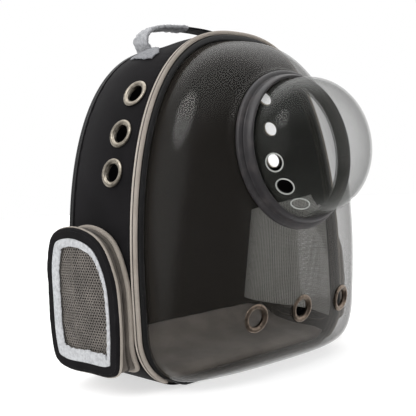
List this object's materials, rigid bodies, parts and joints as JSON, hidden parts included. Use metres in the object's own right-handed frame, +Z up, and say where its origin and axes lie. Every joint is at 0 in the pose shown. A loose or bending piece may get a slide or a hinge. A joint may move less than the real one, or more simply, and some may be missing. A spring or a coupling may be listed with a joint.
{
  "type": "bubble pet carrier backpack",
  "caption": "Arched black cloth backpack for a cat or small dog, with a domed clear front shell, a round porthole dome, ventilation eyelets, mesh side bays, a carry handle and shoulder straps.",
  "frame": {"origin": "on the ground under the middle of the whole object", "axes": "+Z up, -Y towards the clear front, +Y towards the wearer's back, +X to the right of someone who looks at the clear front"},
  "size_m": [0.4278, 0.3492, 0.4448],
  "materials": {
    "shell_cloth": "black woven polyester, matt",
    "pad_cloth": "grey-brown plush pad",
    "binding": "black grosgrain binding over a stiff edge",
    "webbing": "black woven webbing",
    "piping": "beige cloth piping",
    "zip_tape": "taupe zip tape",
    "pale_felt": "off-white felt",
    "mesh_cloth": "taupe air mesh",
    "clear_plastic": "smoke-tinted clear plastic, glossy",
    "black_plastic": "charcoal satin plastic",
    "eyelet_metal": "dull bronze-nickel plate"
  },
  "bodies": {
    "root": {"fabric_wall": "shell_cloth", "back_panel": "shell_cloth", "floor_pad": "pad_cloth", "shell_rim": "binding", "front_frame": "binding", "zip_piping_rear": "piping", "zip_piping_front": "piping", "clear_shell": "clear_plastic", "porthole_ring": "black_plastic", "porthole_dome": "clear_plastic", "eyelet_front_1": "eyelet_metal", "eyelet_front_2": "eyelet_metal", "eyelet_front_3": "eyelet_metal", "eyelet_left_1": "eyelet_metal", "eyelet_left_2": "eyelet_metal", "eyelet_left_3": "eyelet_metal", "eyelet_right_1": "eyelet_metal", "eyelet_right_2": "eyelet_metal", "eyelet_right_3": "eyelet_metal", "bay_band_left": "zip_tape", "bay_seat_piping_left": "piping", "bay_edge_piping_left": "piping", "bay_frame_left": "shell_cloth", "bay_trim_left": "pale_felt", "bay_mesh_left": "mesh_cloth", "bay_band_right": "zip_tape", "bay_seat_piping_right": "piping", "bay_edge_piping_right": "piping", "bay_frame_right": "shell_cloth", "bay_trim_right": "pale_felt", "bay_mesh_right": "mesh_cloth", "carry_handle": "webbing", "handle_sleeve": "pale_felt", "shoulder_strap_left": "shell_cloth", "strap_webbing_left": "webbing", "shoulder_strap_right": "shell_cloth", "strap_webbing_right": "webbing"}
  },
  "joints": []
}
